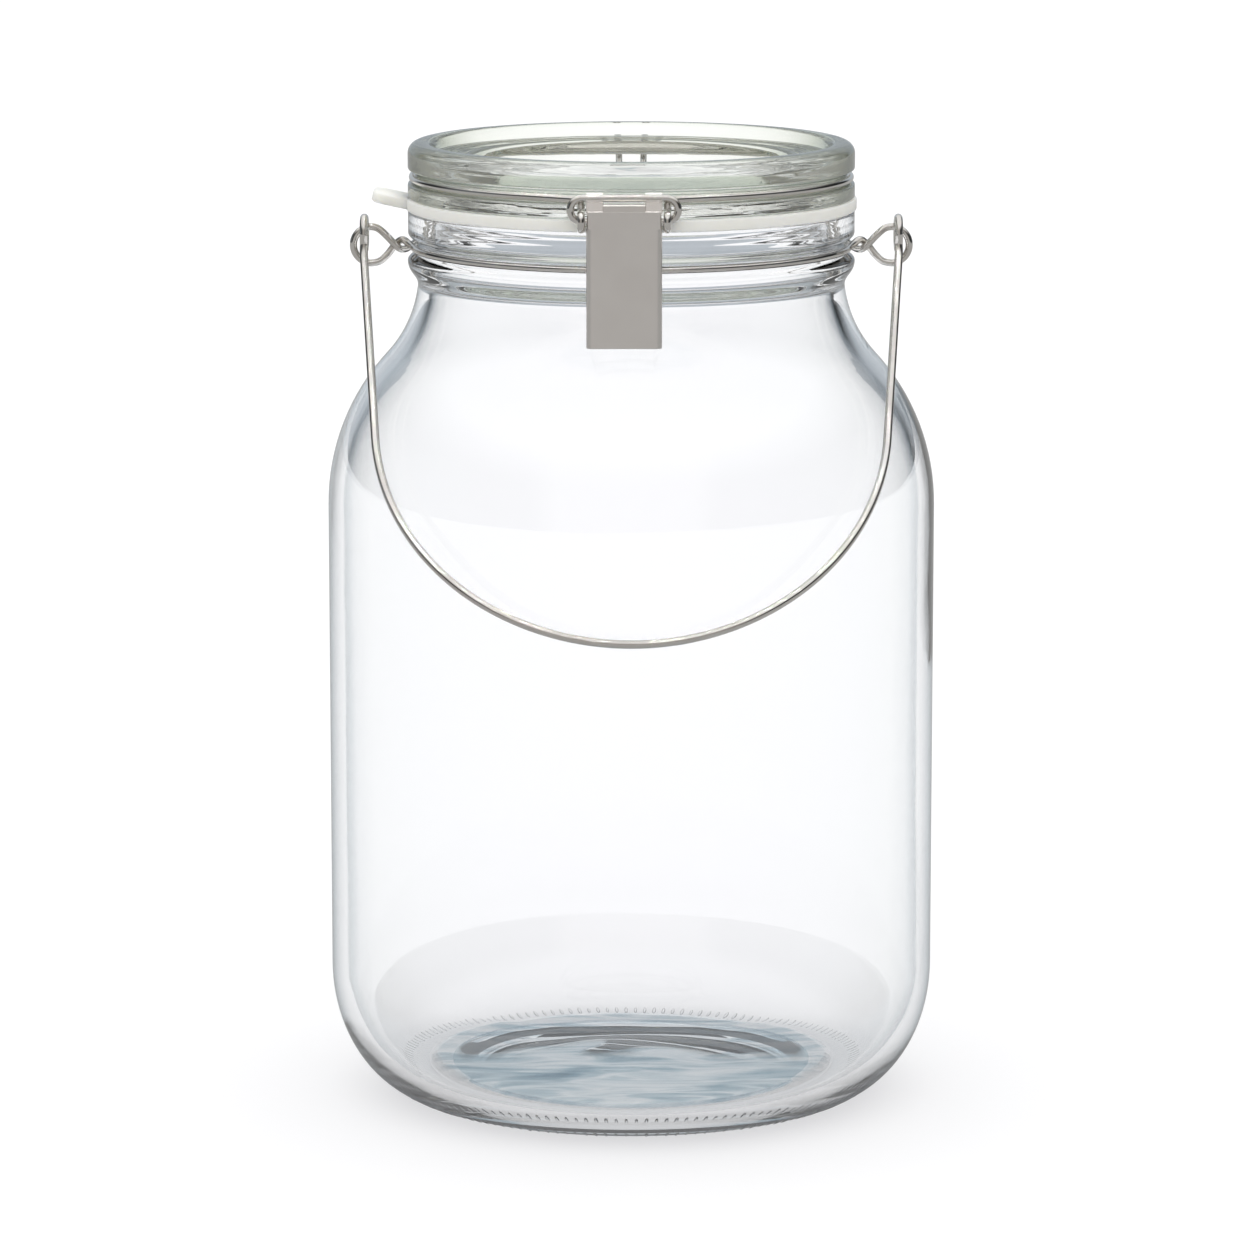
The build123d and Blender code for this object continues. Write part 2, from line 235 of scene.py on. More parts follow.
def add_base_tint_and_painted_shade(tree, shader, edge_shaded_tint):
    """The thick bottom is seen through its depth, and shows swirls across the jar: partly the glass colour,
    partly painted shade of the shaded floor seen through it.
    """
    place = add_node(tree, "ShaderNodeTexCoord")
    axes = add_node(tree, "ShaderNodeSeparateXYZ", links={0: place.outputs["Object"]})
    flat = add_node(
        tree,
        "ShaderNodeVectorMath",
        settings={"operation": "MULTIPLY"},
        values={1: (1.0, 1.0, 0.0)},
        links={0: place.outputs["Object"]},
    )
    length = add_node(
        tree, "ShaderNodeVectorMath", settings={"operation": "LENGTH"}, links={0: flat.outputs[0]}
    )
    radius = length.outputs["Value"]
    stretched = add_node(
        tree,
        "ShaderNodeMapping",
        values={"Scale": (0.45, 1.9, 1.0)},
        links={"Vector": place.outputs["Object"]},
    )
    swirl = add_node(
        tree,
        "ShaderNodeTexNoise",
        values={"Scale": 1 / (SWIRL_SIZE * MM), "Detail": 2.0, "Roughness": 0.45, "Distortion": 1.1},
        links={"Vector": stretched.outputs[0]},
    )
    # The swirls mix the glass's blue with painted shade of the floor under the jar.
    bottom = add_node(
        tree,
        "ShaderNodeMix",
        settings={"data_type": "RGBA"},
        values={6: linear("FDFEFE")},
        links={
            0: fade(tree, radius, SWIRL_R, SWIRL_FADED_R),
            7: colour_ramp(tree, swirl.outputs[0], SWIRL_TINT_AND_PAINTED_SHADE),
        },
    )
    where = add_node(
        tree,
        "ShaderNodeMath",
        settings={"operation": "MULTIPLY"},
        links={
            0: fade(tree, axes.outputs["Z"], BOTTOM_Z, BOTTOM_FADED_Z),
            1: fade(tree, radius, BOTTOM_R, BOTTOM_FADED_R),
        },
    )
    mixed = add_node(
        tree,
        "ShaderNodeMix",
        settings={"data_type": "RGBA"},
        links={0: where.outputs[0], 6: edge_shaded_tint, 7: bottom.outputs[2]},
    )
    tree.links.new(mixed.outputs[2], shader.inputs["Base Color"])


def steel_material(name, colour, worn_colour, roughness, grain_mm, stretch, spread):
    """Stainless steel whose polish wanders a little along the grain left by drawing or rolling."""
    material, tree, shader = new_material(name)
    shader.inputs["Metallic"].default_value = 1.0
    place = add_node(tree, "ShaderNodeTexCoord")
    grain_place = add_node(
        tree,
        "ShaderNodeMapping",
        values={"Scale": stretch},
        links={"Vector": place.outputs["Object"]},
    )
    grain = add_node(
        tree,
        "ShaderNodeTexNoise",
        values={"Scale": 1 / (grain_mm * MM), "Detail": 4.0, "Roughness": 0.6},
        links={"Vector": grain_place.outputs[0]},
    )
    cloud = add_node(
        tree,
        "ShaderNodeTexNoise",
        values={"Scale": 1 / (9.0 * MM), "Detail": 2.0},
        links={"Vector": place.outputs["Object"]},
    )
    tone = add_node(
        tree,
        "ShaderNodeMix",
        settings={"data_type": "RGBA"},
        values={6: linear(colour), 7: linear(worn_colour)},
        links={0: cloud.outputs[0]},
    )
    tree.links.new(tone.outputs[2], shader.inputs["Base Color"])
    polish = add_node(
        tree,
        "ShaderNodeMapRange",
        values={"To Min": roughness - spread, "To Max": roughness + spread},
        links={"Value": grain.outputs[0]},
    )
    tree.links.new(polish.outputs[0], shader.inputs["Roughness"])
    bump = add_node(
        tree,
        "ShaderNodeBump",
        values={"Strength": 0.25, "Distance": 0.01 * MM},
        links={"Height": grain.outputs[0]},
    )
    tree.links.new(bump.outputs[0], shader.inputs["Normal"])
    return material


def silicone_material():
    """Food-grade silicone: milky, lets light in and shows a faint mould bloom."""
    material, tree, shader = new_material("milky moulded silicone")
    shader.inputs["IOR"].default_value = 1.41
    shader.inputs["Subsurface Weight"].default_value = 0.6
    shader.inputs["Subsurface Radius"].default_value = (1.0, 0.95, 0.8)
    shader.inputs["Subsurface Scale"].default_value = 3.0 * MM
    place = add_node(tree, "ShaderNodeTexCoord")
    bloom = add_node(
        tree,
        "ShaderNodeTexNoise",
        values={"Scale": 1 / (6.0 * MM), "Detail": 3.0},
        links={"Vector": place.outputs["Object"]},
    )
    tone = add_node(
        tree,
        "ShaderNodeMix",
        settings={"data_type": "RGBA"},
        values={6: linear("F3F2EC"), 7: linear("E9E9E1")},
        links={0: bloom.outputs[0]},
    )
    tree.links.new(tone.outputs[2], shader.inputs["Base Color"])
    satin = add_node(
        tree,
        "ShaderNodeMapRange",
        values={"To Min": 0.34, "To Max": 0.46},
        links={"Value": bloom.outputs[0]},
    )
    tree.links.new(satin.outputs[0], shader.inputs["Roughness"])
    return material


# Machine-blown soda-lime glass reads clear, with a faint blue-grey tint where it turns away; the dark stops
# at the very edge are painted shade.
BLOWN_TINT_AND_PAINTED_EDGE_SHADE = [
    (0.0, "FBFBFC"),
    (0.58, "F8F9F9"),
    (0.74, "E6E9EB"),
    (0.83, "B3BCC2"),
    (0.91, "74828B"),
    (0.97, "43515A"),
]
# The bottom is seen through centimetres of it; its streaks are partly the blue of the glass and partly
# painted shade of the shaded floor under it.
SWIRL_TINT_AND_PAINTED_SHADE = [(0.28, "5C7D90"), (0.42, "A9C4CF"), (0.50, "F2F8F9"), (0.60, "D3E2E7"), (0.73, "82A4B3")]
body_glass, *body_parts = glass_material(
    "blown soda-lime glass", BLOWN_TINT_AND_PAINTED_EDGE_SHADE, "FDFDFE", 26.0, 0.05, (1.0, 1.0, 1.0)
)
add_base_tint_and_painted_shade(*body_parts)
# Pressed glass is thicker and shows more of its green-grey body colour; its darkest stops at the edges are
# painted shade.
PRESSED_TINT_AND_PAINTED_EDGE_SHADE = [(0.0, "FAFBF8"), (0.4, "EDF0E7"), (0.6, "C6CEBE"), (0.78, "848E7D"), (0.95, "4C554D")]
pressed_glass, *_ = glass_material(
    "pressed soda-lime glass", PRESSED_TINT_AND_PAINTED_EDGE_SHADE, "FCFCFC", 12.0, 0.05, (1.0, 1.0, 8.0)
)
# Drawn wire is bright, with fine scratches along it.
wire_steel = steel_material("drawn stainless wire", "E2E0DC", "CDC9C4", 0.09, 0.5, (1, 1, 1), 0.04)
# Rolled sheet is satin, with its grain down the lever.
sheet_steel = steel_material("rolled stainless sheet", "F0ECE8", "E6E1DD", 0.36, 0.35, (1, 1, 0.06), 0.07)
silicone = silicone_material()


# ---------------------------------------------------------------- mesh tools


def arc(centre, radii, start, end, steps):
    """Points of an elliptic arc in a plane, angles in degrees, both ends included."""
    points = []
    for i in range(steps + 1):
        angle = math.radians(start + (end - start) * i / steps)
        points.append((centre[0] + radii[0] * math.cos(angle), centre[1] + radii[1] * math.sin(angle)))
    return points


def bezier(start, start_pull, end_pull, end, steps):
    """Points of a cubic curve in a plane, both ends included."""
    points = []
    for i in range(steps + 1):
        t = i / steps
        weights = ((1 - t) ** 3, 3 * t * (1 - t) ** 2, 3 * t * t * (1 - t), t**3)
        handles = (start, start_pull, end_pull, end)
        points.append(tuple(sum(w * h[k] for w, h in zip(weights, handles)) for k in range(2)))
    return points


def line(start, end, steps):
    """Points of a straight stretch, both ends included."""
    return [tuple(start[k] + (end[k] - start[k]) * i / steps for k in range(2)) for i in range(steps + 1)]


def without_repeats(points, nearest=1e-4):
    """The same points with each one that repeats the last left out."""
    kept = [points[0]]
    for point in points[1:]:
        if math.dist(point, kept[-1]) > nearest:
            kept.append(point)
    return kept


def finish_mesh(name, mesh_data, material, body, replaced=(), smooth_angle=None):
    """Turn a bmesh into a piece of the object, with its finish and the body it rides on."""
    bmesh.ops.remove_doubles(mesh_data, verts=mesh_data.verts, dist=1e-7)
    bmesh.ops.recalc_face_normals(mesh_data, faces=mesh_data.faces)
    mesh = bpy.data.meshes.new(name)
    mesh_data.to_mesh(mesh)
    mesh_data.free()
    mesh.materials.clear()
    mesh.materials.append(material)
    mesh.shade_smooth()
    if smooth_angle:
        mesh.set_sharp_from_angle(angle=math.radians(smooth_angle))
    piece = bpy.data.objects.new(name, mesh)
    bpy.context.scene.collection.objects.link(piece)
    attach(piece, body)
    if replaced:
        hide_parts(*replaced)
    return piece


def lathe(mesh_data, profile, steps, shift=None):
    """Turn a closed (radius, height) profile that starts and ends on the axis round the Z axis."""
    rings = []
    for radius, height in profile:
        if radius < 1e-6:
            rings.append([mesh_data.verts.new((0, 0, height * MM))])
            continue
        ring = []
        for i in range(steps):
            angle = 2 * math.pi * i / steps
            dr, dz = shift(radius, height, angle) if shift else (0, 0)
            out = (radius + dr) * MM
            spot = (out * math.cos(angle), out * math.sin(angle), (height + dz) * MM)
            ring.append(mesh_data.verts.new(spot))
        rings.append(ring)
    for low, high in zip(rings, rings[1:]):
        for i in range(steps):
            j = (i + 1) % steps
            corners = [low[i % len(low)], low[j % len(low)], high[j % len(high)], high[i % len(high)]]
            unique = list(dict.fromkeys(corners))
            if len(unique) > 2:
                mesh_data.faces.new(unique)


def ring_lathe(mesh_data, profile, steps):
    """Turn a closed (radius, height) outline that stays off the axis round the Z axis."""
    rings = []
    for i in range(steps):
        angle = 2 * math.pi * i / steps
        across, along = MM * math.cos(angle), MM * math.sin(angle)
        rings.append([mesh_data.verts.new((r * across, r * along, z * MM)) for r, z in profile])
    count = len(profile)
    for i in range(steps):
        here, there = rings[i], rings[(i + 1) % steps]
        for k in range(count):
            m = (k + 1) % count
            mesh_data.faces.new((here[k], there[k], there[m], here[m]))


def rounded_box(low, high, corner, steps=6):
    """Outline of a rectangle with round corners, anticlockwise."""
    points = []
    centres = (
        (high[0] - corner, high[1] - corner, 0),
        (low[0] + corner, high[1] - corner, 90),
        (low[0] + corner, low[1] + corner, 180),
        (high[0] - corner, low[1] + corner, 270),
    )
    for x, y, start in centres:
        points += arc((x, y), (corner, corner), start, start + 90, steps)
    return without_repeats(points)


def inset(outline, distance):
    """An outline moved inwards by a small distance, corner by corner."""
    count = len(outline)
    area = sum(
        outline[i][0] * outline[(i + 1) % count][1] - outline[(i + 1) % count][0] * outline[i][1]
        for i in range(count)
    )
    side = 1 if area > 0 else -1
    moved = []
    for i in range(count):
        before = Vector(outline[i]) - Vector(outline[i - 1])
        after = Vector(outline[(i + 1) % count]) - Vector(outline[i])
        before.normalize()
        after.normalize()
        normal = Vector((-before.y - after.y, before.x + after.x)) * side
        normal.normalize()
        turn = max(0.35, math.sqrt((1 + before.dot(after)) / 2))
        moved.append(tuple(Vector(outline[i]) + normal * distance / turn))
    return moved


def prism(mesh_data, outline, place, length, edge):
    """Extrude an outline along the third axis of a placing matrix, with its end edges eased."""
    eased = inset(outline, edge)
    levels = ((0, eased), (edge, outline), (length - edge, outline), (length, eased))
    loops = []
    for height, points in levels:
        loops.append([mesh_data.verts.new(place @ Vector((x, y, height)) * MM) for x, y in points])
    count = len(outline)
    for low, high in zip(loops, loops[1:]):
        for i in range(count):
            j = (i + 1) % count
            mesh_data.faces.new((low[i], low[j], high[j], high[i]))
    mesh_data.faces.new(loops[0])
    mesh_data.faces.new(loops[-1])


def rounded_path(corners, bends, steps=10):
    """Route of bent wire: straight runs joined by round bends, one radius for each inner corner."""
    route = [Vector(corners[0])]
    for i, bend in enumerate(bends, start=1):
        before, corner, after = (Vector(corners[i + k]) for k in (-1, 0, 1))
        into = (corner - before).normalized()
        out = (after - corner).normalized()
        turn = into.angle(out)
        reach = bend * math.tan(turn / 2)
        start = corner - into * reach
        side = (out - into * into.dot(out)).normalized()
        for k in range(steps + 1):
            angle = turn * k / steps
            route.append(start + into * bend * math.sin(angle) + side * bend * (1 - math.cos(angle)))
    route.append(Vector(corners[-1]))
    return route


def smooth_path(points, steps=8):
    """Route that runs smoothly through given points."""
    ends = [2 * Vector(points[0]) - Vector(points[1])] + [Vector(p) for p in points]
    ends.append(2 * Vector(points[-1]) - Vector(points[-2]))
    route = []
    for i in range(1, len(ends) - 2):
        a, b, c, d = ends[i - 1 : i + 3]
        for k in range(steps):
            t = k / steps
            square = (2 * a - 5 * b + 4 * c - d) * t**2
            cube = (3 * b - a - 3 * c + d) * t**3
            route.append(0.5 * (2 * b + (c - a) * t + square + cube))
    route.append(ends[-2])
    return route


def circle_path(centre, across, up, radius, start, end, steps=40):
    """Route round a circle in the plane of two directions, angles in degrees."""
    route = []
    for i in range(steps + 1):
        angle = math.radians(start + (end - start) * i / steps)
        spoke = math.cos(angle) * Vector(across) + math.sin(angle) * Vector(up)
        route.append(Vector(centre) + radius * spoke)
    return route


# ---------------------------------------------------------------- geometry nodes


def new_geometry_tree(name, inputs):
    """A geometry node tree with named inputs, and its group input and output nodes."""
    tree = bpy.data.node_groups.new(name, "GeometryNodeTree")
    tree.interface.new_socket("Geometry", in_out="INPUT", socket_type="NodeSocketGeometry")
    for label, kind in inputs:
        tree.interface.new_socket(label, in_out="INPUT", socket_type=kind)
    tree.interface.new_socket("Geometry", in_out="OUTPUT", socket_type="NodeSocketGeometry")
    return tree, tree.nodes.new("NodeGroupInput"), tree.nodes.new("NodeGroupOutput")


def close_tree(tree, source, material_socket, output):
    """End a tree in real faces that carry their finish."""
    realised = add_node(tree, "GeometryNodeRealizeInstances", links={"Geometry": source})
    smooth = add_node(tree, "GeometryNodeSetShadeSmooth", links={"Geometry": realised.outputs[0]})
    finish = add_node(
        tree, "GeometryNodeSetMaterial", links={"Geometry": smooth.outputs[0], "Material": material_socket}
    )
    tree.links.new(finish.outputs[0], output.inputs[0])


def wire_tree():
    """Round wire along a route of edges."""
    inputs = (
        ("Wire Radius", "NodeSocketFloat"),
        ("Sides", "NodeSocketInt"),
        ("Finish", "NodeSocketMaterial"),
    )
    tree, start, end = new_geometry_tree("round wire along a route", inputs)
    route = add_node(tree, "GeometryNodeMeshToCurve", links={"Mesh": start.outputs["Geometry"]})
    section = add_node(
        tree,
        "GeometryNodeCurvePrimitiveCircle",
        links={"Radius": start.outputs["Wire Radius"], "Resolution": start.outputs["Sides"]},
    )
    wire = add_node(
        tree,
        "GeometryNodeCurveToMesh",
        values={"Fill Caps": True},
        links={"Curve": route.outputs[0], "Profile Curve": section.outputs[0]},
    )
    close_tree(tree, wire.outputs[0], start.outputs["Finish"], end)
    return tree


def knurl_tree():
    """Short rounded ribs set radially round a circle, each a little different in length."""
    inputs = (
        ("Count", "NodeSocketInt"),
        ("Ring Radius", "NodeSocketFloat"),
        ("Ring Height", "NodeSocketFloat"),
        ("Slope", "NodeSocketFloat"),
        ("Rib Size", "NodeSocketVector"),
        ("Seed", "NodeSocketInt"),
        ("Finish", "NodeSocketMaterial"),
    )
    tree, start, end = new_geometry_tree("radial grip ribs", inputs)
    circle = add_node(
        tree,
        "GeometryNodeMeshCircle",
        links={"Vertices": start.outputs["Count"], "Radius": start.outputs["Ring Radius"]},
    )
    height = add_node(tree, "ShaderNodeCombineXYZ", links={"Z": start.outputs["Ring Height"]})
    raised = add_node(
        tree,
        "GeometryNodeSetPosition",
        links={"Geometry": circle.outputs[0], "Offset": height.outputs[0]},
    )
    rib = add_node(tree, "GeometryNodeMeshIcoSphere", values={"Radius": 1.0, "Subdivisions": 2})
    index = add_node(tree, "GeometryNodeInputIndex")
    step = add_node(
        tree,
        "ShaderNodeMath",
        settings={"operation": "DIVIDE"},
        values={0: 2 * math.pi},
        links={1: start.outputs["Count"]},
    )
    around = add_node(
        tree,
        "ShaderNodeMath",
        settings={"operation": "MULTIPLY"},
        links={0: index.outputs[0], 1: step.outputs[0]},
    )
    turn = add_node(
        tree, "ShaderNodeCombineXYZ", links={"Y": start.outputs["Slope"], "Z": around.outputs[0]}
    )
    vary = add_node(
        tree,
        "FunctionNodeRandomValue",
        settings={"data_type": "FLOAT"},
        values={"Min": 0.8, "Max": 1.15},
        links={"Seed": start.outputs["Seed"]},
    )
    size = add_node(
        tree,
        "ShaderNodeVectorMath",
        settings={"operation": "SCALE"},
        links={0: start.outputs["Rib Size"], "Scale": vary.outputs[1]},
    )
    ribs = add_node(
        tree,
        "GeometryNodeInstanceOnPoints",
        links={
            "Points": raised.outputs[0],
            "Instance": rib.outputs[0],
            "Rotation": turn.outputs[0],
            "Scale": size.outputs[0],
        },
    )
    close_tree(tree, ribs.outputs[0], start.outputs["Finish"], end)
    return tree


def grow(tree, base_mesh, values):
    """Run a geometry node tree on a mesh and return the plain mesh it makes."""
    seed_object = bpy.data.objects.new("seed", base_mesh)
    bpy.context.scene.collection.objects.link(seed_object)
    modifier = seed_object.modifiers.new("grow", "NODES")
    modifier.node_group = tree
    sockets = {item.name: item.identifier for item in tree.interface.items_tree if item.in_out == "INPUT"}
    for name, value in values.items():
        modifier[sockets[name]] = value
    depsgraph = bpy.context.evaluated_depsgraph_get()
    depsgraph.update()
    grown = bpy.data.meshes.new_from_object(seed_object.evaluated_get(depsgraph))
    seed_object.modifiers.remove(modifier)
    bpy.data.objects.remove(seed_object)
    return grown


WIRE_TREE = wire_tree()
KNURL_TREE = knurl_tree()


def add_wire(mesh_data, route, radius, closed=False):
    """Add round wire along a route, in millimetres, to a piece being built."""
    path = bpy.data.meshes.new("route")
    edges = [(i, i + 1) for i in range(len(route) - 1)]
    if closed:
        edges.append((len(route) - 1, 0))
    path.from_pydata([tuple(Vector(p) * MM) for p in route], edges, [])
    wire = grow(WIRE_TREE, path, {"Wire Radius": radius * MM, "Sides": WIRE_SIDES, "Finish": wire_steel})
    mesh_data.from_mesh(wire)
    bpy.data.meshes.remove(wire)
    bpy.data.meshes.remove(path)


# ---------------------------------------------------------------- glass


OUTER_RING_DEPTH = 0.011
INNER_RING_DEPTH = 0.018
WAVER = 0.12
WAVER_TOP = 225
FLOOR_SWIRL = 0.28


def mould_rings(radius, start_z, end_z, steps, depth):
    """Faint uneven rings that the neck mould leaves on the glass, never outside the given radius."""
    points = []
    for i in range(steps + 1):
        z = start_z + (end_z - start_z) * i / steps
        wave = math.sin(2.1 * z) + 0.6 * math.sin(3.9 * z + 1.0) + 0.6 * math.sin(1.1 * z)
        points.append((radius - depth * (1 + wave / 2.2), z))
    return points


def jar_profile():
    """Jar's section from the middle of its underside, up the outside, over the rim and down inside."""
    shoulder = (BODY_R - SHOULDER_R, SHOULDER_Z)
    bend = math.degrees(math.acos((NECK_R + COLLAR_R - shoulder[0]) / (SHOULDER_R + COLLAR_R)))
    collar = (NECK_R + COLLAR_R, SHOULDER_Z + (SHOULDER_R + COLLAR_R) * math.sin(math.radians(bend)))
    punt_r = (FOOT_INNER_R**2 + PUNT_RISE**2) / (2 * PUNT_RISE)
    punt_angle = math.degrees(math.asin(FOOT_INNER_R / punt_r))
    mouth_r = NECK_R - WALL
    inner_side_r = BODY_R - WALL
    bead_angle = math.degrees(math.asin((collar[1] - BEAD_START_Z) / COLLAR_R))
    points = arc((0, PUNT_RISE - punt_r), (punt_r, punt_r), 90, 90 - punt_angle, 14)
    points += line((FOOT_INNER_R + 0.6, 0), (FOOT_R, 0), 3)
    points += arc((FOOT_R, HEEL_Z), (BODY_R - FOOT_R, HEEL_Z), 270, 360, 26)
    points += line((BODY_R, HEEL_Z), (BODY_R, SHOULDER_Z), 12)
    points += arc(shoulder, (SHOULDER_R, SHOULDER_R), 0, bend, 16)
    points += arc(collar, (COLLAR_R, COLLAR_R), 180 + bend, 180 + bead_angle, 12)
    points += bezier(points[-1], (NECK_R - 0.2, 229.4), (BEAD_R, 230.0), (BEAD_R, BEAD_Z), 12)
    points += bezier((BEAD_R, BEAD_Z), (BEAD_R, 234.7), (GROOVE_R, 234.9), (GROOVE_R, GROOVE_LOW_Z), 8)
    rim_low = (RIM_R, RIM_LOW_Z)
    points += bezier((GROOVE_R, GROOVE_HIGH_Z), (GROOVE_R, 239.6), (RIM_R - 0.1, 239.6), rim_low, 8)
    points += mould_rings(RIM_R, 241.6, 246.2, 24, OUTER_RING_DEPTH)
    points += arc((RIM_R - RIM_ROUND, RIM_Z - RIM_ROUND), (RIM_ROUND, RIM_ROUND), 0, 90, 5)
    points += arc((mouth_r + MOUTH_ROUND, RIM_Z - MOUTH_ROUND), (MOUTH_ROUND, MOUTH_ROUND), 90, 180, 6)
    points += mould_rings(mouth_r, 245.0, collar[1] + 1.0, 48, INNER_RING_DEPTH)
    points += arc(collar, (COLLAR_R + WALL, COLLAR_R + WALL), 180, 180 + bend, 12)
    points += arc(shoulder, (SHOULDER_R - WALL, SHOULDER_R - WALL), bend, 0, 16)
    points += line((inner_side_r, SHOULDER_Z), (inner_side_r, HEEL_Z), 14)
    heel = (inner_side_r - INNER_HEEL_R, HEEL_Z - INNER_HEEL_Z)
    points += arc((INNER_HEEL_R, HEEL_Z), heel, 360, 270, 26)
    heel_end, floor_edge = (INNER_HEEL_R, INNER_HEEL_Z), (FLOOR_R, FLOOR_Z)
    points += bezier(heel_end, (57.0, INNER_HEEL_Z), (56.0, FLOOR_Z), floor_edge, 6)
    points += line(floor_edge, (0, FLOOR_Z), 16)
    return without_repeats(points)


def blown_waver(radius, height, angle):
    """Slow unevenness of a blown wall: inside only, and settled out at the rim."""
    inside_wall = radius < BODY_R - WALL + 0.5 and FLOOR_Z + 2 < height < WAVER_TOP
    on_floor = abs(height - FLOOR_Z) < 0.01 and radius <= FLOOR_R
    if on_floor:
        slow = math.sin(radius / 6.5 + 1.6 * math.sin(angle + 0.6))
        swirl = slow + 0.6 * math.sin(radius / 3.9 + 2 * angle)
        return 0.0, FLOOR_SWIRL * swirl * math.sin(math.pi * radius / FLOOR_R)
    if inside_wall and radius < BODY_R - WALL + 0.01:
        wave = math.sin(3 * angle + height / 60) + 0.7 * math.sin(5 * angle - height / 45 + 1.1)
        return WAVER * wave * min(1.0, (WAVER_TOP - height) / 30), 0.0
    return 0.0, 0.0


def build_jar():
    mesh_data = bmesh.new()
    profile = jar_profile()
    outer = max(range(len(profile)), key=lambda i: profile[i][1])

    def waver(radius, height, angle):
        return blown_waver(radius, height, angle) if (radius, height) in inner else (0.0, 0.0)

    inner = set(profile[outer + 4 :])
    lathe(mesh_data, profile, LATHE_STEPS, waver)
    finish_mesh("jar_body", mesh_data, body_glass, "jar", ["jar"])


RIB_COUNT = 150
RIB_RING_R = 66.4
RIB_RING_Z = 1.95
RIB_SLOPE = -27
RIB_HALF_SIZES = (2.2, 0.5, 0.2)


def build_foot_knurls():
    """Grip ribs pressed into the heel just outside the foot."""
    seed = bpy.data.meshes.new("knurl seed")
    values = {
        "Count": RIB_COUNT,
        "Ring Radius": RIB_RING_R * MM,
        "Ring Height": RIB_RING_Z * MM,
        "Slope": math.radians(RIB_SLOPE),
        "Rib Size": tuple(half * MM for half in RIB_HALF_SIZES),
        "Seed": 4,
        "Finish": body_glass,
    }
    mesh = grow(KNURL_TREE, seed, values)
    mesh_data = bmesh.new()
    mesh_data.from_mesh(mesh)
    finish_mesh("foot_knurls", mesh_data, body_glass, "jar")


def lid_profile():
    """Lid's section: plug below, flange, wire groove, rim and sunk middle with pressed rings."""
    points = [(0, PLUG_BOTTOM)]
    points += line((8, PLUG_BOTTOM), (PLUG_R - PLUG_ROUND, PLUG_BOTTOM), 8)
    points += arc((PLUG_R - PLUG_ROUND, PLUG_BOTTOM + PLUG_ROUND), (PLUG_ROUND, PLUG_ROUND), 270, 360, 6)
    points += [(PLUG_R + 0.6, LID_BOTTOM)]
    flange = (FLANGE_ROUND, FLANGE_ROUND)
    flange_edge = FLANGE_R - FLANGE_ROUND
    points += line((PLUG_R + 1.2, LID_BOTTOM), (flange_edge, LID_BOTTOM), 3)
    points += arc((flange_edge, LID_BOTTOM + FLANGE_ROUND), flange, 270, 360, 4)
    points += arc((flange_edge, FLANGE_TOP - FLANGE_ROUND), flange, 0, 90, 4)
    groove_low, groove_high = (LID_GROOVE_R, LID_GROOVE_LOW_Z), (LID_GROOVE_R, LID_GROOVE_HIGH_Z)
    points += bezier((60.0, 254.9), (59.3, 255.0), (LID_GROOVE_R, 255.3), groove_low, 4)
    points += bezier(groove_high, (LID_GROOVE_R, 257.8), (59.6, 258.1), (60.6, 258.3), 5)
    points += arc((60.7, 259.2), (0.8, 0.8), 280, 360, 4)
    points += arc((LID_R - LID_ROUND, LID_TOP - LID_ROUND), (LID_ROUND, LID_ROUND), 0, 90, 9)
    points += arc((56.6, LID_TOP - 1.6), (1.6, 1.6), 90, 165, 6)
    points += bezier((54.2, 263.4), (53.8, 262.3), (53.2, WELL_RIM_Z), (52.0, WELL_RIM_Z), 5)
    crest_z = WELL_RIM_Z + WELL_RING_RISE
    for ring_r in (50.2, 47.8):
        outer, inner = (ring_r + 0.8, WELL_RIM_Z), (ring_r - 0.8, WELL_RIM_Z)
        crest = (ring_r, crest_z)
        points += bezier(outer, (ring_r + 0.4, WELL_RIM_Z), (ring_r + 0.3, crest_z), crest, 3)
        points += bezier(crest, (ring_r - 0.3, crest_z), (ring_r - 0.4, WELL_RIM_Z), inner, 3)
    points += bezier((46.4, WELL_RIM_Z), (45.0, WELL_RIM_Z), (44.4, 261.2), (44.0, 260.0), 5)
    points += bezier((41.6, 253.6), (41.0, 252.0), (40.0, WELL_FLOOR_Z), (38.4, WELL_FLOOR_Z), 6)
    points += line((36.0, WELL_FLOOR_Z), (6.0, WELL_FLOOR_Z), 8)
    points += [(0, WELL_FLOOR_Z)]
    return without_repeats(points)


def build_lid():
    mesh_data = bmesh.new()
    lathe(mesh_data, lid_profile(), LATHE_STEPS)
    finish_mesh("lid_glass_body", mesh_data, pressed_glass, "lid", ["lid_glass"])


# ---------------------------------------------------------------- gasket


GASKET_INNER_R = 53.2
GASKET_OUTER_R = 62.05
GASKET_EDGE = 0.55
TAB_RISE = math.radians(12.0)
TAB_START = -60.6
TAB_WIDTH = 16.0
TAB_THICK = 2.9
TAB_CORNER = 4.0


